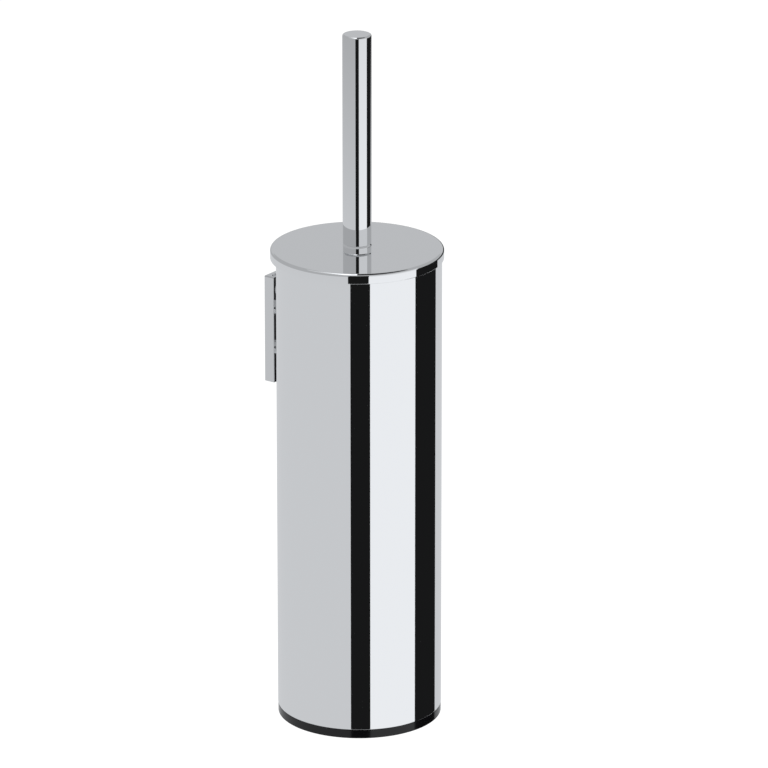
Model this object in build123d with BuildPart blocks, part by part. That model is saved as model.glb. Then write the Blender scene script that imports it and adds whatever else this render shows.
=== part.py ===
"""Wall-hung toilet brush holder: a polished tube on a short wall rail, with a liner, a lid and a brush.

Millimetres, +Z up. The origin is the middle of the rail's back face, on the wall plane, halfway between
the two wall screw holes. +Y points into the wall, so the tube stands at -Y, in front of the wall.
"""

from build123d import *
from math import sqrt
import os

# Driving dimensions
TUBE_OD = 88.9
TUBE_WALL = 1.0
TOTAL_HEIGHT = 383.0
LID_TOP_HEIGHT = 264.5
LID_OD = 93.0
LID_SKIRT = 5.5
LID_SHEET = 0.8
LID_EDGE = 1.4  # outer radius of the bend between the lid's top and its skirt
LID_SHIFT_X, LID_SHIFT_Y = -0.6, 0.8  # the loose lid has slid this far off the tube's axis
HANDLE_OD = 15.5
HANDLE_WALL = 1.0
AXIS_TO_WALL = 58.6
RAIL_WIDTH, RAIL_DEPTH, RAIL_HEIGHT = 12.0, 6.0, 60.0
RAIL_CENTRE_HEIGHT = 209.0
RIM_HEIGHT = 5.0  # part of the base cap that shows below the tube
SCREW_SPACING = 45.0  # between the two wall screws
STUD_SPACING = 22.4  # between the two hook studs
BRISTLE_OD = 70.0

# Radii and heights that follow from them. Heights are above the underside of the base.
TUBE_R = TUBE_OD / 2
BORE_R = TUBE_R - TUBE_WALL
LID_R = LID_OD / 2
HANDLE_R = HANDLE_OD / 2
AXIS_Y = -AXIS_TO_WALL
BASE_Z = -RAIL_CENTRE_HEIGHT
INSERT_TOP = LID_TOP_HEIGHT - LID_SHEET
INSERT_DISC = 1.0
LINER_TOP = INSERT_TOP - INSERT_DISC
LINER_FLANGE = 1.0
TUBE_TOP = LINER_TOP - LINER_FLANGE
FOOT_RING = 2.8  # height of the ring under the handle
HANDLE_FOOT = LID_TOP_HEIGHT + FOOT_RING
PRESSED = 0.05  # radial gap between pieces that are pressed or screwed together
BREAK = 0.3  # size of a broken edge

# Rail, hook studs and their screws
RAIL_WEB = 2.6  # metal between the slot and the wall
RAIL_LIP = 1.2
RAIL_CORNER, RAIL_EDGE = 0.6, 0.35  # radii of the rail's upright corners and its front edges
SLOT_WIDTH, CAVITY_WIDTH = 5.3, 8.6
WALL_SCREW_R, WALL_SCREW_HEAD_R = 2.2, 4.0
HEAD_WAY_R = 4.6  # round opening that lets the upper wall screw's head past the lips
STUD_R, STUD_NECK_R, STUD_HEAD_R = 4.0, 2.5, 4.0
STUD_HEAD = 1.5
SLIP = 0.15  # clearance of a stud in the rail
STUD_SCREW_R, STUD_SCREW_GRIP = 2.0, 6.0
STUD_SCREW_HEAD_R, STUD_SCREW_HEAD = 3.8, 2.2
SEAL_R, SEAL_THICK = 4.6, 0.8
SEAL_SEAT_Y = AXIS_Y + sqrt(BORE_R**2 - SEAL_R**2) - SEAL_THICK

# Liner
LINER_R, LINER_FOOT_R = 39.2, 38.2
LINER_WALL = 1.4
LINER_BOTTOM = 8.0
COLLAR_DEPTH = 5.0  # ring under the liner's flange and spigot under the lid

# Brush
ROD_R, THREAD_R = 4.0, 3.0
BOSS_R = 9.0
BOSS_BOTTOM = INSERT_TOP - 5.0
LOCK_WASHER = 1.2
ROD_SHOULDER = BOSS_BOTTOM - LOCK_WASHER
BUSH_LENGTH = 16.0
CAP_DISC, CAP_PLUG = 1.6, 6.0
RING_SLOPE_WIDTH, RING_SLOPE_HEIGHT = 0.8, 1.3  # slope round the top of the ring under the handle
HUB_R, HUB_COLLAR_R = 9.0, 11.0
HUB_BOTTOM, HUB_TOP, HUB_THREAD = 24.0, 110.0, 18.0
BRISTLE_R = BRISTLE_OD / 2
BRISTLE_TIP, BRISTLE_LOW, BRISTLE_TOP = 15.0, 42.0, 100.0

# The tube and the brush have an axis each. A half-section's x is the radius and its y the height above
# the base.
TUBE_AXIS = Axis((0, AXIS_Y, 0), (0, 0, 1))
TUBE_SECTION = Plane(origin=(0, AXIS_Y, BASE_Z), x_dir=(1, 0, 0), z_dir=(0, -1, 0))
BRUSH_FOOT = (LID_SHIFT_X, AXIS_Y + LID_SHIFT_Y, BASE_Z)
BRUSH_AXIS = Axis(BRUSH_FOOT, (0, 0, 1))
BRUSH_SECTION = Plane(origin=BRUSH_FOOT, x_dir=(1, 0, 0), z_dir=(0, -1, 0))


def tube_level(height):
    """Horizontal plane on the tube's axis, at a height above the base."""
    return Plane(origin=(0, AXIS_Y, BASE_Z + height))


def brush_level(height):
    """Horizontal plane on the brush's axis, at a height above the base."""
    return Plane(origin=BRUSH_FOOT).offset(height)


def wall_plane(y, z=0.0):
    """Upright plane that faces the room, with x to the right and y up."""
    return Plane(origin=(0, y, z), x_dir=(1, 0, 0), z_dir=(0, -1, 0))


def block(r0, r1, low, high):
    """Rectangle of a half-section, between two radii and two heights."""
    with Locations(((r0 + r1) / 2, (low + high) / 2)):
        Rectangle(r1 - r0, high - low)


def rings(piece, *places):
    """The circular edges of a turned piece at each given radius and height above the base."""
    circles = piece.edges().filter_by(GeomType.CIRCLE)
    return ShapeList(
        edge
        for edge in circles
        for radius, height in places
        if abs(edge.radius - radius) < 0.01 and abs(edge.center().Z - BASE_Z - height) < 0.01
    )


def slot_outline(width, length):
    """Slot that is round at the sketch's origin and runs straight up from it."""
    Circle(width / 2)
    with Locations((0, length / 2)):
        Rectangle(width, length)


def make_wall_rail():
    """Bar with a T-slot, open at its top, and two countersunk holes for the wall screws."""
    stop_z = SLIP - STUD_SPACING / 2
    with BuildPart() as rail:
        with BuildSketch(wall_plane(0)):
            RectangleRounded(RAIL_WIDTH, RAIL_HEIGHT, RAIL_CORNER)
        extrude(amount=RAIL_DEPTH)
        fillet(rail.faces().sort_by(Axis.Y)[0].edges(), RAIL_EDGE)
        with BuildSketch(wall_plane(-RAIL_WEB, stop_z)):
            slot_outline(CAVITY_WIDTH, RAIL_HEIGHT)
        extrude(amount=RAIL_DEPTH - RAIL_WEB - RAIL_LIP, mode=Mode.SUBTRACT)
        with BuildSketch(wall_plane(-RAIL_WEB, stop_z)):
            slot_outline(SLOT_WIDTH, RAIL_HEIGHT)
        extrude(amount=RAIL_DEPTH, mode=Mode.SUBTRACT)
        with BuildSketch(wall_plane(-RAIL_WEB, SCREW_SPACING / 2)):
            Circle(HEAD_WAY_R)
        extrude(amount=RAIL_DEPTH, mode=Mode.SUBTRACT)
        with Locations(wall_plane(-RAIL_DEPTH, -SCREW_SPACING / 2)):
            CounterSinkHole(WALL_SCREW_R, WALL_SCREW_HEAD_R, depth=RAIL_DEPTH, counter_sink_angle=90)
        with Locations(wall_plane(-RAIL_WEB, SCREW_SPACING / 2)):
            CounterSinkHole(WALL_SCREW_R, WALL_SCREW_HEAD_R, depth=RAIL_WEB, counter_sink_angle=90)
    rail.part.label = "wall_rail"
    export_step(rail.part, "parts/wall_rail.step")


def make_hook_studs():
    """Two turned studs behind the tube: a shoulder on the tube, a neck, and a head in the rail."""
    head_y = -RAIL_WEB - SLIP
    neck_y = head_y - STUD_HEAD
    shoulder_y = -RAIL_DEPTH - SLIP
    tube_back_y = AXIS_Y + TUBE_R
    with BuildPart() as studs:
        for radius, y, y_end in (
            (STUD_HEAD_R, head_y, neck_y),
            (STUD_NECK_R, neck_y, shoulder_y),
            (STUD_R, shoulder_y, tube_back_y - 1),
        ):
            with BuildSketch(wall_plane(y)):
                with GridLocations(0, STUD_SPACING, 1, 2):
                    Circle(radius)
            extrude(amount=y - y_end)
        shoulders = studs.edges().filter_by(GeomType.CIRCLE).filter_by(
            lambda e: abs(e.radius - STUD_R) < 0.01 and abs(e.center().Y - shoulder_y) < 0.01
        )
        chamfer(shoulders, BREAK)
        with BuildSketch(TUBE_SECTION):
            block(0, TUBE_R, 0, LID_TOP_HEIGHT)
        revolve(axis=TUBE_AXIS, mode=Mode.SUBTRACT)
        with BuildSketch(wall_plane(tube_back_y + STUD_SCREW_GRIP + 0.5)):
            with GridLocations(0, STUD_SPACING, 1, 2):
                Circle(STUD_SCREW_R + PRESSED)
        extrude(amount=STUD_SCREW_GRIP + 2, mode=Mode.SUBTRACT)
    studs.part.label = "hook_studs"
    export_step(studs.part, "parts/hook_studs.step")


def make_seal_washers():
    """Two soft washers inside the tube, round its curve on one side and flat on the other."""
    with BuildPart() as seals:
        with BuildSketch(wall_plane(SEAL_SEAT_Y + 2 * SEAL_THICK)):
            with GridLocations(0, STUD_SPACING, 1, 2):
                Circle(SEAL_R)
                Circle(STUD_SCREW_R + PRESSED, mode=Mode.SUBTRACT)
        extrude(amount=2 * SEAL_THICK)
        with BuildSketch(TUBE_SECTION):
            block(0, BORE_R, 0, LID_TOP_HEIGHT)
        revolve(axis=TUBE_AXIS, mode=Mode.INTERSECT)
    seals.part.label = "seal_washers"
    export_step(seals.part, "parts/seal_washers.step")


def make_stud_screws():
    """Two cross-head screws that hold the studs from inside the tube."""
    end_y = AXIS_Y + TUBE_R + STUD_SCREW_GRIP
    head_y = SEAL_SEAT_Y - STUD_SCREW_HEAD
    head_edge = 0.9
    cross_length, cross_width, cross_depth = 4.2, 0.9, 1.2
    with BuildPart() as screws:
        with BuildSketch(wall_plane(end_y)):
            with GridLocations(0, STUD_SPACING, 1, 2):
                Circle(STUD_SCREW_R)
        extrude(amount=end_y - SEAL_SEAT_Y)
        with BuildSketch(wall_plane(SEAL_SEAT_Y)):
            with GridLocations(0, STUD_SPACING, 1, 2):
                Circle(STUD_SCREW_HEAD_R)
        extrude(amount=STUD_SCREW_HEAD)
        fillet(screws.faces().sort_by(Axis.Y)[:2].edges(), head_edge)
        with BuildSketch(wall_plane(head_y)):
            with GridLocations(0, STUD_SPACING, 1, 2):
                Rectangle(cross_length, cross_width)
                Rectangle(cross_width, cross_length)
        extrude(amount=-cross_depth, mode=Mode.SUBTRACT)
    screws.part.label = "stud_screws"
    export_step(screws.part, "parts/stud_screws.step")


def make_holder_tube():
    """Straight polished tube, open at both ends, drilled twice at the back for the stud screws."""
    with BuildPart() as tube:
        with BuildSketch(TUBE_SECTION):
            block(BORE_R, TUBE_R, RIM_HEIGHT, TUBE_TOP)
        revolve(axis=TUBE_AXIS)
        fillet(rings(tube, (TUBE_R, RIM_HEIGHT), (TUBE_R, TUBE_TOP)), BREAK)
        with BuildSketch(wall_plane(0)):
            with GridLocations(0, STUD_SPACING, 1, 2):
                Circle(STUD_SCREW_R + PRESSED)
        extrude(amount=AXIS_TO_WALL, mode=Mode.SUBTRACT)
    tube.part.label = "holder_tube"
    export_step(tube.part, "parts/holder_tube.step")


def make_base_cap():
    """Plastic cap pressed into the tube's lower end, with a rim below it and ribs under its floor."""
    rim_r = TUBE_R - 0.1
    rim_wall, plug_wall = 3.6, 2.0
    plug_r = BORE_R - PRESSED
    plug_top = RIM_HEIGHT + 10
    floor_low = RIM_HEIGHT - 2
    recess_r = rim_r - rim_wall
    rib_low, rib_width, centre_boss_r = 0.8, 1.6, 7.0
    with BuildPart() as cap:
        with BuildSketch(TUBE_SECTION):
            block(0, rim_r, floor_low, RIM_HEIGHT)
            block(recess_r, rim_r, 0, RIM_HEIGHT)
            block(plug_r - plug_wall, plug_r, floor_low, plug_top)
        revolve(axis=TUBE_AXIS)
        fillet(rings(cap, (rim_r, 0), (rim_r, RIM_HEIGHT)), BREAK)
        chamfer(rings(cap, (plug_r, plug_top)), 2 * BREAK)
        with BuildSketch(tube_level(rib_low)):
            Circle(centre_boss_r)
            with PolarLocations(0, 3):
                Rectangle(2 * recess_r, rib_width)
        extrude(amount=floor_low - rib_low)
    cap.part.label = "base_cap"
    export_step(cap.part, "parts/base_cap.step")


def make_liner_cup():
    """Removable drip cup that hangs by its flange from the tube's rim, with a collar that centres it."""
    flange_r = TUBE_R - 0.25
    flange_low = LINER_TOP - LINER_FLANGE
    collar_r, collar_wall = BORE_R - 0.35, 1.2
    floor_top = LINER_BOTTOM + 1.6
    foot_inner_r = LINER_FOOT_R - LINER_WALL
    foot_edge, foot_inner_edge = 3.6, 2.6
    with BuildPart() as liner:
        with BuildSketch(TUBE_SECTION):
            with BuildLine():
                Polyline(
                    (0, LINER_BOTTOM),
                    (LINER_FOOT_R, LINER_BOTTOM),
                    (LINER_R, LINER_TOP),
                    (LINER_R - LINER_WALL, LINER_TOP),
                    (foot_inner_r, floor_top),
                    (0, floor_top),
                    close=True,
                )
            make_face()
            block(LINER_R - LINER_WALL / 2, flange_r, flange_low, LINER_TOP)
            block(collar_r - collar_wall, collar_r, flange_low - COLLAR_DEPTH, flange_low)
        revolve(axis=TUBE_AXIS)
        fillet(rings(liner, (LINER_FOOT_R, LINER_BOTTOM)), foot_edge)
        fillet(rings(liner, (foot_inner_r, floor_top)), foot_inner_edge)
        fillet(rings(liner, (flange_r, LINER_TOP), (flange_r, flange_low)), BREAK)
    liner.part.label = "liner_cup"
    export_step(liner.part, "parts/liner_cup.step")


def make_lid():
    """Flat polished cap with a short skirt that drops loosely over the tube's rim."""
    skirt_low = LID_TOP_HEIGHT - LID_SKIRT
    inner_r = LID_R - LID_SHEET
    with BuildPart() as lid:
        with BuildSketch(BRUSH_SECTION):
            block(THREAD_R + PRESSED, LID_R, INSERT_TOP, LID_TOP_HEIGHT)
            block(inner_r, LID_R, skirt_low, LID_TOP_HEIGHT)
        revolve(axis=BRUSH_AXIS)
        fillet(rings(lid, (LID_R, LID_TOP_HEIGHT)), LID_EDGE)
        fillet(rings(lid, (inner_r, INSERT_TOP)), LID_EDGE - LID_SHEET)
        fillet(rings(lid, (LID_R, skirt_low), (inner_r, skirt_low)), BREAK)
    lid.part.label = "lid"
    export_step(lid.part, "parts/lid.step")


def make_lid_insert():
    """Plastic disc inside the lid, with a clamping boss, ribs and a spigot that enters the liner."""
    disc_r = LID_R - LID_SHEET - PRESSED
    spigot_r, spigot_wall = LINER_R - LINER_WALL - 1.35, 1.4
    spigot_low = LINER_TOP - COLLAR_DEPTH
    rib_depth, rib_width = 3.0, 1.4
    with BuildPart() as insert:
        with BuildSketch(BRUSH_SECTION):
            block(0, disc_r, LINER_TOP, INSERT_TOP)
            block(0, BOSS_R, BOSS_BOTTOM, INSERT_TOP)
            block(spigot_r - spigot_wall, spigot_r, spigot_low, INSERT_TOP)
        revolve(axis=BRUSH_AXIS)
        chamfer(rings(insert, (disc_r, INSERT_TOP)), LID_EDGE - LID_SHEET)
        fillet(rings(insert, (spigot_r, spigot_low)), BREAK)
        with BuildSketch(brush_level(LINER_TOP - rib_depth)):
            with PolarLocations(0, 3):
                Rectangle(2 * (spigot_r - spigot_wall / 2), rib_width)
        extrude(amount=rib_depth)
        with BuildSketch(brush_level(BOSS_BOTTOM)):
            Circle(THREAD_R + PRESSED)
        extrude(amount=INSERT_TOP - BOSS_BOTTOM, mode=Mode.SUBTRACT)
    insert.part.label = "lid_insert"
    export_step(insert.part, "parts/lid_insert.step")


def make_foot_ring():
    """Polished ring between the handle's foot and the lid."""
    ring_top = LID_TOP_HEIGHT + FOOT_RING
    with BuildPart() as ring:
        with BuildSketch(BRUSH_SECTION):
            block(THREAD_R + PRESSED, HANDLE_R, LID_TOP_HEIGHT, ring_top)
            with BuildLine():
                Polyline(
                    (HANDLE_R - RING_SLOPE_WIDTH, ring_top),
                    (HANDLE_R, ring_top),
                    (HANDLE_R, ring_top - RING_SLOPE_HEIGHT),
                    close=True,
                )
            make_face(mode=Mode.SUBTRACT)
        revolve(axis=BRUSH_AXIS)
        fillet(rings(ring, (HANDLE_R, ring_top - RING_SLOPE_HEIGHT)), BREAK)
    ring.part.label = "foot_ring"
    export_step(ring.part, "parts/foot_ring.step")


def make_handle_tube():
    """Straight handle, a thin tube between the lid and the end cap."""
    with BuildPart() as handle:
        with BuildSketch(BRUSH_SECTION):
            block(HANDLE_R - HANDLE_WALL, HANDLE_R, HANDLE_FOOT, TOTAL_HEIGHT - CAP_DISC)
        revolve(axis=BRUSH_AXIS)
    handle.part.label = "handle_tube"
    export_step(handle.part, "parts/handle_tube.step")


def make_handle_end_cap():
    """Flat cap with a hollow plug that is pressed into the top of the handle."""
    disc_low = TOTAL_HEIGHT - CAP_DISC
    plug_r, plug_wall = HANDLE_R - HANDLE_WALL - PRESSED, 1.4
    disc_edge = 1.0
    with BuildPart() as cap:
        with BuildSketch(BRUSH_SECTION):
            block(0, HANDLE_R, disc_low, TOTAL_HEIGHT)
            block(plug_r - plug_wall, plug_r, disc_low - CAP_PLUG, TOTAL_HEIGHT)
        revolve(axis=BRUSH_AXIS)
        fillet(rings(cap, (HANDLE_R, TOTAL_HEIGHT)), disc_edge)
        chamfer(rings(cap, (plug_r, disc_low - CAP_PLUG)), BREAK)
    cap.part.label = "handle_end_cap"
    export_step(cap.part, "parts/handle_end_cap.step")


def make_handle_bush():
    """Threaded bush pressed into the foot of the handle."""
    bush_r = HANDLE_R - HANDLE_WALL - PRESSED
    with BuildPart() as bush:
        with BuildSketch(BRUSH_SECTION):
            block(THREAD_R + PRESSED, bush_r, HANDLE_FOOT, HANDLE_FOOT + BUSH_LENGTH)
        revolve(axis=BRUSH_AXIS)
        chamfer(rings(bush, (bush_r, HANDLE_FOOT + BUSH_LENGTH)), BREAK)
    bush.part.label = "handle_bush"
    export_step(bush.part, "parts/handle_bush.step")


def make_lock_washer():
    """Split spring washer between the rod's shoulder and the lid insert."""
    washer_r, split = 5.4, 1.0
    with BuildPart() as washer:
        with BuildSketch(brush_level(ROD_SHOULDER)):
            Circle(washer_r)
            Circle(THREAD_R + 2 * PRESSED, mode=Mode.SUBTRACT)
            with Locations(((THREAD_R + washer_r) / 2, 0)):
                Rectangle(washer_r - THREAD_R + 1, split, rotation=20, mode=Mode.SUBTRACT)
        extrude(amount=LOCK_WASHER)
    washer.part.label = "lock_washer"
    export_step(washer.part, "parts/lock_washer.step")


def make_brush_rod():
    """Rod from the brush head to the handle, turned down at both ends for its threads."""
    thread_low = HUB_TOP - HUB_THREAD
    thread_high = HANDLE_FOOT + BUSH_LENGTH - 2
    thread_lead = 0.6
    with BuildPart() as rod:
        with BuildSketch(BRUSH_SECTION):
            block(0, THREAD_R, thread_low, thread_high)
            block(0, ROD_R, HUB_TOP, ROD_SHOULDER)
        revolve(axis=BRUSH_AXIS)
        chamfer(rings(rod, (THREAD_R, thread_low), (THREAD_R, thread_high)), thread_lead)
        chamfer(rings(rod, (ROD_R, HUB_TOP), (ROD_R, ROD_SHOULDER)), BREAK)
    rod.part.label = "brush_rod"
    export_step(rod.part, "parts/brush_rod.step")


def make_brush_hub():
    """Plastic core of the brush head, with a blind threaded hole and a collar at its top."""
    collar_low = HUB_TOP - 8
    foot_edge, collar_edge = 3.0, 0.9
    with BuildPart() as hub:
        with BuildSketch(BRUSH_SECTION):
            block(0, HUB_R, HUB_BOTTOM, HUB_TOP)
            block(0, HUB_COLLAR_R, collar_low, HUB_TOP)
        revolve(axis=BRUSH_AXIS)
        fillet(rings(hub, (HUB_R, HUB_BOTTOM)), foot_edge)
        fillet(rings(hub, (HUB_COLLAR_R, HUB_TOP), (HUB_COLLAR_R, collar_low)), collar_edge)
        with BuildSketch(brush_level(HUB_TOP)):
            Circle(THREAD_R + PRESSED)
        extrude(amount=-HUB_THREAD - 1, mode=Mode.SUBTRACT)
    hub.part.label = "brush_hub"
    export_step(hub.part, "parts/brush_hub.step")


def make_side_bristles():
    """Envelope of the bristles that stand out sideways from the hub."""
    top_edge = 5.0
    with BuildPart() as bristles:
        with BuildSketch(BRUSH_SECTION):
            block(HUB_R + PRESSED, BRISTLE_R, BRISTLE_LOW, BRISTLE_TOP)
        revolve(axis=BRUSH_AXIS)
        fillet(rings(bristles, (BRISTLE_R, BRISTLE_TOP)), top_edge)
    bristles.part.label = "side_bristles"
    export_step(bristles.part, "parts/side_bristles.step")


def make_tip_bristles():
    """Envelope of the bristles that fan out round the hub's lower end."""
    inner_r = HUB_R + PRESSED
    inner_low = HUB_BOTTOM - PRESSED
    with BuildPart() as bristles:
        with BuildSketch(BRUSH_SECTION):
            with BuildLine():
                EllipticalCenterArc(
                    (0, BRISTLE_LOW), BRISTLE_R, BRISTLE_LOW - BRISTLE_TIP, start_angle=-90, arc_size=90
                )
                Polyline(
                    (BRISTLE_R, BRISTLE_LOW),
                    (inner_r, BRISTLE_LOW),
                    (inner_r, inner_low),
                    (0, inner_low),
                    (0, BRISTLE_TIP),
                )
            make_face()
        revolve(axis=BRUSH_AXIS)
    bristles.part.label = "tip_bristles"
    export_step(bristles.part, "parts/tip_bristles.step")


os.makedirs("parts", exist_ok=True)

make_wall_rail()

make_holder_tube()
make_base_cap()
make_hook_studs()
make_stud_screws()
make_seal_washers()

make_liner_cup()

make_lid()
make_lid_insert()
make_foot_ring()
make_handle_tube()
make_handle_end_cap()
make_handle_bush()
make_lock_washer()
make_brush_rod()
make_brush_hub()
make_side_bristles()
make_tip_bristles()
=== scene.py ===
"""Looks of the wall-hung toilet brush holder.

Metres, in the CAD model's frame: +Z up, the wall at y = 0.
"""

import math
import random

import bmesh
import bpy
from mathutils import Matrix, Vector


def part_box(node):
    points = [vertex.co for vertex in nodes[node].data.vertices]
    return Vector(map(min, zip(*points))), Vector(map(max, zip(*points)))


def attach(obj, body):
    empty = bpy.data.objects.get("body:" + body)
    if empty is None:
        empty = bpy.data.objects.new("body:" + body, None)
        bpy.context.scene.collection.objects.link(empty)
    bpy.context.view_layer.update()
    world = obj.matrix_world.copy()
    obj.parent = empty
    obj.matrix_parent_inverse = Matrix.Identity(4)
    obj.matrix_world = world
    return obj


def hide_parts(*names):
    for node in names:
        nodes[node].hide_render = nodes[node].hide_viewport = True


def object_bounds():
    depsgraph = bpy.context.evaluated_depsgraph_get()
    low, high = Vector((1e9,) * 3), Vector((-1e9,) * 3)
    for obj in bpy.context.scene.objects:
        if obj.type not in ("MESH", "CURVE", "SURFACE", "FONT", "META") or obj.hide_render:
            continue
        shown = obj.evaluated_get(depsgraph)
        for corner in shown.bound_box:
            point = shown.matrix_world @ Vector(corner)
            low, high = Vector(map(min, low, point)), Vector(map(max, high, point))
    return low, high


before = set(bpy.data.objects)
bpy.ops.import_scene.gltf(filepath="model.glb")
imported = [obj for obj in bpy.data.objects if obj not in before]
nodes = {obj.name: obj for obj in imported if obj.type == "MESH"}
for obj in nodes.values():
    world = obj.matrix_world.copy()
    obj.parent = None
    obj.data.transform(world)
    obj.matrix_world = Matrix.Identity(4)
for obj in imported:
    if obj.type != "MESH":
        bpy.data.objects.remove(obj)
cad_low, cad_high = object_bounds()

# Places, from the frame
tube_low, tube_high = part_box("holder_tube")
AXIS_X = (tube_low.x + tube_high.x) / 2
AXIS_Y = (tube_low.y + tube_high.y) / 2
BASE_Z = cad_low.z
lid_low, lid_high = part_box("lid")
BRUSH_X = (lid_low.x + lid_high.x) / 2
BRUSH_Y = (lid_low.y + lid_high.y) / 2

# Sizes of the hub and the lid, as in the CAD model
HUB_RADIUS = 0.0090  # of the core that the tufts stand on
LID_BEND, LID_SHEET, LID_LIP, LID_HOLE = 0.0014, 0.0008, 0.0003, 0.00305
LID_FINE_GAP = 0.00004  # keeps the round shoulder from bending the shine of the flat top and the skirt

# Bristles
TUFT_RADIUS = 0.0011
TUFT_SPLAY = 0.14
TUFT_ROOT = 0.0006  # how deep a tuft starts below the hub's surface
GOLDEN_ANGLE = 2.39996  # spreads the filaments of a tuft evenly

# Camera: round the object and down on it, as the object is shown
CAMERA_AZIMUTH = math.radians(-54)
CAMERA_DISTANCE = 3.5386  # level distance from the tube's axis
CAMERA_HEIGHT = 1.4129  # above the base
AIM_HEIGHT = 0.1873  # above the base
AIM_RIGHT = 0.01334  # of the tube's axis
LENS_MM = 326.6
SENSOR_MM = 36.0

# Studio: a round tent of plain cards with a few levels of light. From the front, the tube mirrors what
# is below TENT_MIDDLE, the handle what is just above it, and the lid what is above TENT_UPPER.
TENT_RADIUS = 2.0
TENT_LOW, TENT_MIDDLE, TENT_UPPER, TENT_HIGH = -3.0, -0.6, 0.3, 3.0
FADE_HEIGHT = -0.4  # the walls fade from TENT_MIDDLE up to here
CROWN_LOW, CROWN_HIGH = 0.8, 0.9  # between these the high cards change to DIM
WHITE, GREY, DIM, BLACK = 0.95, 0.65, 0.45, 0.01  # light of the cards
WHITE_FADED, WHITE_TOP, BACK_TOP, LAMP_LIGHT = 0.8, 0.7, 0.55, 1.3
COOL = (0.98, 1.0, 1.03)  # tint of the cards' light
LAMP_WIDTH = 0.8
CARD_STEP = 4  # degrees along a curved card
FLOOR_DROP = 0.45  # the holder hangs this far above the floor
CHROME_TONE = 0.88  # share of light that the chrome gives back


def direction(azimuth_from_camera):
    """Level unit vector at an angle to the right of the camera, seen from the object, in degrees."""
    a = CAMERA_AZIMUTH + math.radians(azimuth_from_camera)
    return Vector((math.sin(a), -math.cos(a), 0))


# ---------------------------------------------------------------- studio


def link(obj):
    bpy.context.scene.collection.objects.link(obj)
    return obj


def flat_object(name, vertices, faces):
    mesh = bpy.data.meshes.new(name)
    mesh.from_pydata(vertices, [], faces)
    mesh.update()
    return link(bpy.data.objects.new(name, mesh))


def new_material(name):
    material = bpy.data.materials.new(name)
    material.use_nodes = True
    material.node_tree.nodes.clear()
    output = material.node_tree.nodes.new("ShaderNodeOutputMaterial")
    return material, material.node_tree, output


def card_material():
    """Light of each card, from the brightness kept on its corners."""
    material, tree, output = new_material("studio_card")
    light = tree.nodes.new("ShaderNodeAttribute")
    light.attribute_name = "light"
    glow = tree.nodes.new("ShaderNodeEmission")
    tree.links.new(light.outputs["Color"], glow.inputs["Color"])
    tree.links.new(glow.outputs["Emission"], output.inputs["Surface"])
    material.cycles.emission_sampling = "NONE"
    return material


CARD = card_material()


def only_reflected(obj):
    """A piece of the studio that shows in reflections alone."""
    obj.visible_camera = False
    obj.visible_diffuse = False
    obj.visible_transmission = False
    obj.visible_volume_scatter = False
    obj.visible_shadow = False


def studio_card(name, vertices, faces, lights):
    """A reflection-only piece of the studio, with the light of each of its vertices."""
    obj = flat_object(name, vertices, faces)
    colour = obj.data.color_attributes.new("light", "FLOAT_COLOR", "POINT")
    for point, light in zip(colour.data, lights):
        point.color = (*(light * share for share in COOL), 1)
    obj.data.materials.append(CARD)
    only_reflected(obj)


def wall_card(name, left, right, *rows):
    """Upright curved card between two angles. Each row is a height and the card's light there."""
    steps = math.ceil((right - left) / CARD_STEP)
    vertices, lights = [], []
    for height, light in rows:
        for i in range(steps + 1):
            foot = direction(left + (right - left) * i / steps) * TENT_RADIUS
            vertices.append((AXIS_X + foot.x, AXIS_Y + foot.y, height))
            lights.append(light)
    n = steps + 1
    corners = [r * n + c for r in range(len(rows) - 1) for c in range(steps)]
    studio_card(name, vertices, [(i, i + 1, i + n + 1, i + n) for i in corners], lights)


def overhead(name, light, left, right, far, near, layer=0):
    """Flat rectangle above, with its sides measured to the right of the object and towards the camera."""
    height = TENT_HIGH - 0.02 * layer
    vertices = []
    for across, along in ((left, far), (right, far), (right, near), (left, near)):
        place = direction(90) * across + direction(0) * along
        vertices.append((AXIS_X + place.x, AXIS_Y + place.y, height))
    studio_card(name, vertices, [(0, 1, 2, 3)], [light] * 4)


def make_wall_cards():
    """Plain cards that the tube and the handle mirror as upright stripes. They fade upwards."""
    edges = (-180, -12, 15, 84, 133, 180)
    cards = (("grey_left", GREY, DIM), ("black_front", BLACK, BLACK), ("white_right", WHITE, WHITE_FADED))
    cards += (("black_right", BLACK, BLACK), ("grey_right", GREY, BLACK))
    for (name, light, faded), left, right in zip(cards, edges, edges[1:]):
        rows = ((TENT_LOW, light), (TENT_MIDDLE, light), (FADE_HEIGHT, faded), (TENT_UPPER, faded))
        wall_card(name, left, right, *rows)


def make_high_cards():
    """Plain cards at the level that the lid's top mirrors, directly and by way of the handle."""
    edges = (-150, -10, 15, 87, 150, 210)
    cards = (("grey_left_top", DIM), ("black_front_top", BLACK), ("white_right_top", WHITE_TOP))
    cards += (("grey_right_top", DIM), ("grey_back_top", BACK_TOP))
    for (name, light), left, right in zip(cards, edges, edges[1:]):
        rows = ((TENT_UPPER, light), (CROWN_LOW, light), (CROWN_HIGH, DIM), (TENT_HIGH, DIM))
        wall_card(name, left, right, *rows)


def make_ceiling():
    """Grey ceiling on the left, black on the right, with a strip lamp along the middle."""
    reach = 3.0
    overhead("ceiling_left", GREY, -reach, 0, -reach, reach)
    overhead("ceiling_right", BLACK, 0, reach, -reach, reach)
    overhead("ceiling_lamp", LAMP_LIGHT, -LAMP_WIDTH, 0, -reach, reach, 1)


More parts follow.
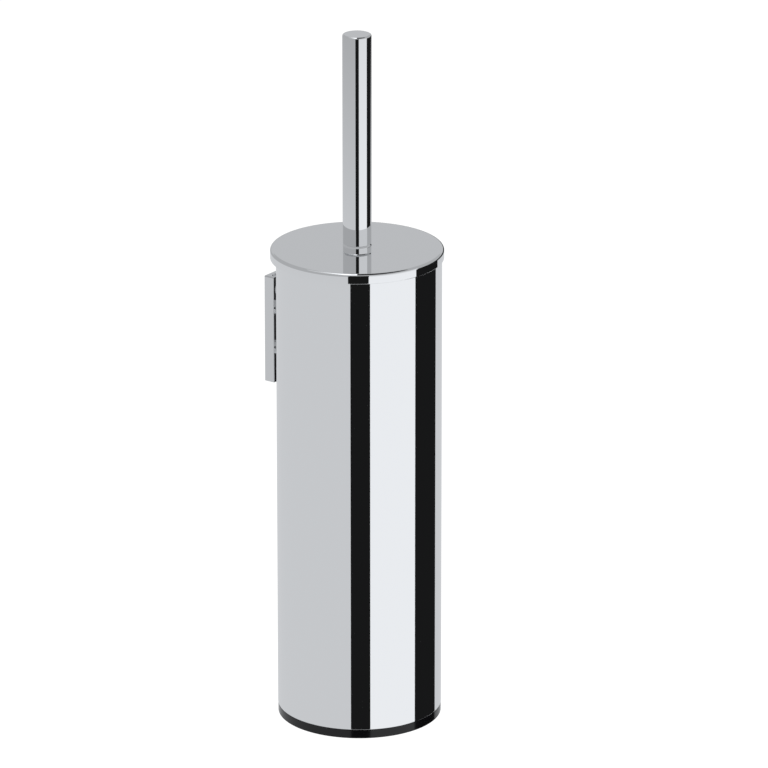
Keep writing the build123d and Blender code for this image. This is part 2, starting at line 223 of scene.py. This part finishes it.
def make_gap_painted_shade_card():
    """Small black card behind the tube, seen only in reflections: painted shade that the narrow gap beside
    the rail mirrors.
    """
    low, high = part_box("wall_rail")
    x = AXIS_X + 0.030
    y_near, y_far = low.y - 0.009, high.y + 0.008
    z_low, z_high = low.z - 0.045, high.z + 0.005
    corners = [(x, y_near, z_low), (x, y_far, z_low), (x, y_far, z_high), (x, y_near, z_high)]
    studio_card("gap_painted_shade_card", corners, [(0, 1, 2, 3)], [BLACK] * 4)


def make_tent():
    """Plain cards all round the object, above it and below it, and a small black one behind the tube that
    puts painted shade in the gap beside the rail.
    """
    make_wall_cards()
    make_high_cards()
    make_ceiling()
    # black card behind the tube: painted shade in the gap beside the rail
    make_gap_painted_shade_card()
    ring = [direction(7.5 * i) * TENT_RADIUS for i in range(48)]
    studio_card(
        "tent_floor",
        [(AXIS_X + foot.x, AXIS_Y + foot.y, TENT_LOW) for foot in ring],
        [tuple(range(48))],
        [GREY] * 48,
    )


def make_floor():
    """Plain pale floor below the hanging holder."""
    size, z = 40.0, BASE_Z - FLOOR_DROP
    corners = [(-size, -size, z), (size, -size, z), (size, size, z), (-size, size, z)]
    floor = flat_object("floor", corners, [(0, 1, 2, 3)])
    material, tree, output = new_material("floor_paint")
    paint = tree.nodes.new("ShaderNodeBsdfDiffuse")
    paint.inputs["Color"].default_value = (0.97, 0.97, 0.97, 1)
    tree.links.new(paint.outputs["BSDF"], output.inputs["Surface"])
    floor.data.materials.append(material)
    floor.visible_glossy = False


def make_world():
    """Even white light all round, and a plain white background."""
    world = bpy.data.worlds.new("white_room")
    bpy.context.scene.world = world
    world.use_nodes = True
    background = world.node_tree.nodes["Background"]
    background.inputs["Color"].default_value = (1, 1, 1, 1)
    background.inputs["Strength"].default_value = 1.06
    bpy.context.scene.view_settings.view_transform = "Standard"


def make_lamp():
    """Large soft lamp at the upper left that shapes the plastic pieces."""
    data = bpy.data.lights.new("soft_lamp", "AREA")
    data.shape = "DISK"
    data.size = 1.2
    data.energy = 12
    lamp = link(bpy.data.objects.new("soft_lamp", data))
    aim = Vector((AXIS_X, AXIS_Y, 0))
    lamp.location = aim + direction(-35) * 1.6 + Vector((0, 0, 1.8))
    lamp.rotation_euler = (aim - lamp.location).to_track_quat("-Z", "Y").to_euler()
    lamp.visible_glossy = False


def make_camera():
    data = bpy.data.cameras.new("camera")
    data.lens = LENS_MM
    data.sensor_width = SENSOR_MM
    camera = link(bpy.data.objects.new("camera", data))
    foot = Vector((AXIS_X, AXIS_Y, BASE_Z))
    camera.location = foot + direction(0) * CAMERA_DISTANCE + Vector((0, 0, CAMERA_HEIGHT))
    aim = foot + direction(90) * AIM_RIGHT + Vector((0, 0, AIM_HEIGHT))
    camera.rotation_euler = (aim - camera.location).to_track_quat("-Z", "Y").to_euler()
    data.clip_start, data.clip_end = 0.1, 100
    bpy.context.scene.camera = camera


# ---------------------------------------------------------------- materials


def principled(name, colour, metallic, roughness, gloss=0.5):
    material, tree, output = new_material(name)
    shader = tree.nodes.new("ShaderNodeBsdfPrincipled")
    shader.inputs["Base Color"].default_value = (*colour, 1)
    shader.inputs["Metallic"].default_value = metallic
    shader.inputs["Roughness"].default_value = roughness
    shader.inputs["Specular IOR Level"].default_value = gloss
    tree.links.new(shader.outputs["BSDF"], output.inputs["Surface"])
    return material, tree, shader


def noise(tree, scale, detail, stretch=(1, 1, 1)):
    """Noise in the piece's own coordinates, stretched along an axis."""
    place = tree.nodes.new("ShaderNodeTexCoord")
    mapping = tree.nodes.new("ShaderNodeMapping")
    mapping.inputs["Scale"].default_value = stretch
    texture = tree.nodes.new("ShaderNodeTexNoise")
    texture.inputs["Scale"].default_value = scale
    texture.inputs["Detail"].default_value = detail
    tree.links.new(place.outputs["Object"], mapping.inputs["Vector"])
    tree.links.new(mapping.outputs["Vector"], texture.inputs["Vector"])
    return texture.outputs["Fac"]


def spread(tree, value, low, high):
    """A noise value spread between two numbers."""
    node = tree.nodes.new("ShaderNodeMapRange")
    node.inputs["From Min"].default_value = 0.3
    node.inputs["From Max"].default_value = 0.7
    node.inputs["To Min"].default_value = low
    node.inputs["To Max"].default_value = high
    tree.links.new(value, node.inputs["Value"])
    return node.outputs["Result"]


def bump(tree, shader, height, distance):
    node = tree.nodes.new("ShaderNodeBump")
    node.inputs["Distance"].default_value = distance
    node.inputs["Strength"].default_value = 1.0
    tree.links.new(height, node.inputs["Height"])
    tree.links.new(node.outputs["Normal"], shader.inputs["Normal"])


def tint(tree, shader, value, dark, light):
    """Colour of the surface, between two near shades."""
    mix = tree.nodes.new("ShaderNodeMix")
    mix.data_type = "RGBA"
    mix.inputs["A"].default_value = (*dark, 1)
    mix.inputs["B"].default_value = (*light, 1)
    tree.links.new(value, mix.inputs["Factor"])
    tree.links.new(mix.outputs["Result"], shader.inputs["Base Color"])


def chrome(name, tone, stretch, polish=0.02, depth=3e-7):
    """Mirror chrome: faint polishing lines and a slow change of polish over the piece."""
    colour = (tone * 0.995, tone, tone * 1.006)
    material, tree, shader = principled(name, colour, 1.0, polish)
    slow = noise(tree, 9, 2)
    tree.links.new(spread(tree, slow, polish * 0.75, polish * 1.25), shader.inputs["Roughness"])
    lines = noise(tree, 240, 3, stretch)
    bump(tree, shader, lines, depth)
    return material


def steel(name, stretch):
    """Turned stainless steel with fine tool lines."""
    material, tree, shader = principled(name, (0.60, 0.60, 0.61), 1.0, 0.28)
    lines = noise(tree, 600, 4, stretch)
    tree.links.new(spread(tree, lines, 0.22, 0.36), shader.inputs["Roughness"])
    tint(tree, shader, lines, (0.52, 0.52, 0.53), (0.66, 0.66, 0.67))
    bump(tree, shader, lines, 0.00001)
    return material


def plastic(name, dark, light, roughness, grain, depth, gloss=0.5):
    """Moulded plastic: fine spark-eroded grain, uneven gloss and a slight change of shade."""
    material, tree, shader = principled(name, light, 0.0, roughness, gloss)
    slow = noise(tree, 30, 3)
    fine = noise(tree, grain, 2)
    tint(tree, shader, slow, dark, light)
    tree.links.new(spread(tree, slow, roughness * 0.85, roughness * 1.15), shader.inputs["Roughness"])
    bump(tree, shader, fine, depth)
    return material


def paint(name, material):
    obj = nodes[name]
    obj.data.materials.clear()
    obj.data.materials.append(material)


def make_materials():
    around = (1, 1, 14)
    black, black_pale = (0.0022, 0.0022, 0.0026), (0.0032, 0.0032, 0.0038)
    ivory, ivory_pale = (0.80, 0.80, 0.78), (0.86, 0.86, 0.85)
    insert, insert_pale = (0.014, 0.014, 0.015), (0.02, 0.02, 0.021)
    hub, hub_pale = (0.016, 0.016, 0.017), (0.022, 0.022, 0.023)
    nylon, nylon_pale = (0.72, 0.71, 0.66), (0.80, 0.79, 0.74)
    looks = {
        "holder_tube": chrome("tube_chrome_look", CHROME_TONE, around),
        "lid": chrome("lid_chrome_look", CHROME_TONE, (1, 1, 3), 0.014, 1e-7),
        "wall_rail": chrome("rail_chrome_look", 0.78, (1, 1, 12)),
        "hook_studs": chrome("stud_chrome_look", 0.84, (1, 12, 1)),
        "base_cap": plastic("base_plastic_look", black, black_pale, 0.12, 2500, 2e-7, 0.36),
        "liner_cup": plastic("liner_plastic_look", ivory, ivory_pale, 0.42, 1800, 6e-6),
        "lid_insert": plastic("insert_plastic_look", insert, insert_pale, 0.4, 1800, 8e-6),
        "brush_hub": plastic("hub_plastic_look", hub, hub_pale, 0.38, 1800, 6e-6),
        "seal_washers": plastic("nylon_look", nylon, nylon_pale, 0.45, 1500, 5e-6),
        "stud_screws": steel("screw_steel_look", (1, 8, 1)),
        "handle_bush": steel("bush_steel_look", (1, 1, 8)),
        "lock_washer": steel("washer_steel_look", (1, 1, 8)),
        "brush_rod": steel("rod_steel_look", (1, 1, 0.1)),
    }
    handle = chrome("handle_chrome_look", CHROME_TONE, around, 0.014, 1e-7)
    for name in ("handle_tube", "handle_end_cap", "foot_ring"):
        looks[name] = handle
    for name, material in looks.items():
        paint(name, material)


# ---------------------------------------------------------------- turned pieces


def corner(centre, radius, start, end, steps):
    """Arc of a half-section, between two angles in degrees, as (radius, height) points."""
    turns = [math.radians(start + (end - start) * i / steps) for i in range(steps + 1)]
    return [(centre[0] + radius * math.cos(a), centre[1] + radius * math.sin(a)) for a in turns]


def turned(name, outline, node, around=240):
    """Solid of revolution on the brush's axis, from its closed half-section, in place of a CAD node."""
    mesh = bmesh.new()
    rings = []
    for i in range(around):
        turn = math.tau * i / around
        x, y = math.cos(turn), math.sin(turn)
        rings.append([mesh.verts.new((BRUSH_X + r * x, BRUSH_Y + r * y, z)) for r, z in outline])
    n = len(outline)
    for i in range(around):
        here, beyond = rings[i], rings[(i + 1) % around]
        for k in range(n):
            mesh.faces.new((here[k], beyond[k], beyond[(k + 1) % n], here[(k + 1) % n]))
    bmesh.ops.recalc_face_normals(mesh, faces=mesh.faces)
    for edge in mesh.edges:
        edge.smooth = edge.calc_face_angle(0) < math.radians(30)
    data = bpy.data.meshes.new(name)
    mesh.to_mesh(data)
    mesh.free()
    data.polygons.foreach_set("use_smooth", [True] * len(data.polygons))
    obj = link(bpy.data.objects.new(name, data))
    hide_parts(node)
    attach(obj, "brush")
    return obj


def make_lid():
    """Drawn lid: flat top with a hole for the rod, round shoulder and short skirt with rounded lips."""
    outer = (lid_high.x - lid_low.x) / 2
    top, foot = lid_high.z, lid_low.z
    inner = outer - LID_SHEET
    bend, lip = LID_BEND, LID_LIP
    inner_bend = bend - LID_SHEET
    near = LID_FINE_GAP
    outline = [(LID_HOLE, top), (outer - bend - near, top)]
    outline += reversed(corner((outer - bend, top - bend), bend, 0, 90, 24))
    outline += [(outer, top - bend - near), (outer, foot + lip + near)]
    outline += corner((outer - lip, foot + lip), lip, 0, -90, 8)
    outline += corner((inner + lip, foot + lip), lip, -90, -180, 8)
    outline += [(inner, foot + lip + near), (inner, top - bend - near)]
    outline += corner((inner - inner_bend, top - bend), inner_bend, 0, 90, 8)
    outline += [(inner - inner_bend - near, top - LID_SHEET), (LID_HOLE, top - LID_SHEET)]
    lid = turned("lid_turned", outline, "lid")
    lid.data.materials.append(nodes["lid"].data.materials[0])


# ---------------------------------------------------------------- bristles


def filament(mesh, start, heading, length, rng, radius=0.00017, segments=6):
    """Crimped nylon filament as a thin three-sided tube that tapers to a rounded tip."""
    side = heading.orthogonal().normalized()
    side.rotate(Matrix.Rotation(rng.uniform(0, math.tau), 3, heading))
    other = heading.cross(side)
    bend = rng.uniform(-0.0012, 0.0012)
    crimp = rng.uniform(0.00010, 0.00022)
    phase = rng.uniform(0, math.tau)
    previous = None
    for i in range(segments + 1):
        share = i / segments
        sway = bend * share * share + crimp * math.sin(phase + share * 5 * math.pi) * min(1, share * 4)
        centre = start + heading * (length * share) + side * sway
        r = radius * (0.45 if i == segments else 1)
        ring = []
        for k in range(3):
            turn = math.tau * k / 3
            ring.append(mesh.verts.new(centre + side * (r * math.cos(turn)) + other * (r * math.sin(turn))))
        if previous:
            for k in range(3):
                mesh.faces.new((previous[k], previous[(k + 1) % 3], ring[(k + 1) % 3], ring[k]))
        else:
            mesh.faces.new(reversed(ring))
        previous = ring
    mesh.faces.new(previous)


def bristle_object(name, mesh, node):
    data = bpy.data.meshes.new(name)
    mesh.normal_update()
    mesh.to_mesh(data)
    mesh.free()
    data.polygons.foreach_set("use_smooth", [True] * len(data.polygons))
    obj = link(bpy.data.objects.new(name, data))
    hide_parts(node)
    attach(obj, "brush")
    return obj


def tuft(mesh, root, heading, reach, rng, count=18):
    """Bunch of filaments from one hole in the hub. reach gives the length that each one may have."""
    across = heading.orthogonal().normalized()
    upright = heading.cross(across)
    for i in range(count):
        turn = GOLDEN_ANGLE * i
        out = math.sqrt((i + 0.5) / count)
        offset = (across * math.cos(turn) + upright * math.sin(turn)) * out
        start = root + offset * TUFT_RADIUS
        aim = (heading + offset * (TUFT_SPLAY * rng.uniform(0.8, 1.2))).normalized()
        filament(mesh, start, aim, reach(start, aim) * rng.uniform(0.965, 0.995), rng)


def make_side_bristles(material):
    """Staggered rings of tufts that stand straight out from the hub."""
    rng = random.Random(5)
    low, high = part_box("side_bristles")
    brim = (high.x - low.x) / 2
    rings_up, around = 12, 18
    margin = 0.0022
    top_edge = 0.005

    def reach(start, aim):
        flat = Vector((start.x - BRUSH_X, start.y - BRUSH_Y, 0))
        level = Vector((aim.x, aim.y, 0))
        a, b, c = level.dot(level), flat.dot(level), flat.dot(flat) - brim * brim
        length = (-b + math.sqrt(b * b - a * c)) / a
        over = start.z + aim.z * length - (high.z - top_edge)
        if over > 0:
            length -= top_edge - math.sqrt(max(0, top_edge**2 - min(over, top_edge) ** 2))
        return length

    mesh = bmesh.new()
    for i in range(rings_up):
        z = low.z + margin + (high.z - low.z - 2 * margin) * i / (rings_up - 1)
        for j in range(around):
            turn = math.tau * (j + 0.5 * (i % 2)) / around + rng.uniform(-0.02, 0.02)
            outward = Vector((math.cos(turn), math.sin(turn), 0))
            root = Vector((BRUSH_X, BRUSH_Y, z + rng.uniform(-0.0006, 0.0006)))
            root += outward * (HUB_RADIUS - TUFT_ROOT)
            heading = (outward + Vector((0, 0, rng.uniform(-0.05, 0.05)))).normalized()
            tuft(mesh, root, heading, reach, rng)
    bristle_object("side_bristle_tufts", mesh, "side_bristles").data.materials.append(material)


def make_tip_bristles(material):
    """Tufts that fan out and down round the hub's end, to a dome."""
    rng = random.Random(6)
    low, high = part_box("tip_bristles")
    brim, drop = (high.x - low.x) / 2, high.z - low.z
    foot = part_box("brush_hub")[0].z
    centre = Vector((BRUSH_X, BRUSH_Y, high.z))

    def reach(start, aim):
        p, d = start - centre, aim
        scale = Vector((1 / brim, 1 / brim, 1 / drop))
        p, d = Vector(map(float.__mul__, p, scale)), Vector(map(float.__mul__, d, scale))
        a, b, c = d.dot(d), p.dot(d), p.dot(p) - 1
        return (-b + math.sqrt(b * b - a * c)) / a

    mesh = bmesh.new()
    for tilt, height, radius, around in (
        (8, 0.0002, 0.0022, 4),
        (28, 0.0005, 0.0056, 9),
        (48, 0.0026, 0.0083, 12),
        (64, 0.0062, HUB_RADIUS, 14),
        (76, 0.0104, HUB_RADIUS, 16),
        (86, 0.0152, HUB_RADIUS, 17),
    ):
        lean = math.radians(tilt)
        for j in range(around):
            turn = math.tau * (j + 0.37 * tilt) / around + rng.uniform(-0.03, 0.03)
            outward = Vector((math.cos(turn), math.sin(turn), 0))
            heading = outward * math.sin(lean) - Vector((0, 0, math.cos(lean)))
            surface = Vector((BRUSH_X, BRUSH_Y, foot + height)) + outward * radius
            tuft(mesh, surface - heading * TUFT_ROOT, heading, reach, rng)
    bristle_object("tip_bristle_tufts", mesh, "tip_bristles").data.materials.append(material)


def make_bristles():
    dark, light = (0.010, 0.010, 0.011), (0.024, 0.024, 0.026)
    look = plastic("bristle_nylon_look", dark, light, 0.42, 900, 2e-6)
    make_side_bristles(look)
    make_tip_bristles(look)


make_world()
make_floor()
make_tent()
make_lamp()
make_camera()
make_materials()
make_lid()
make_bristles()
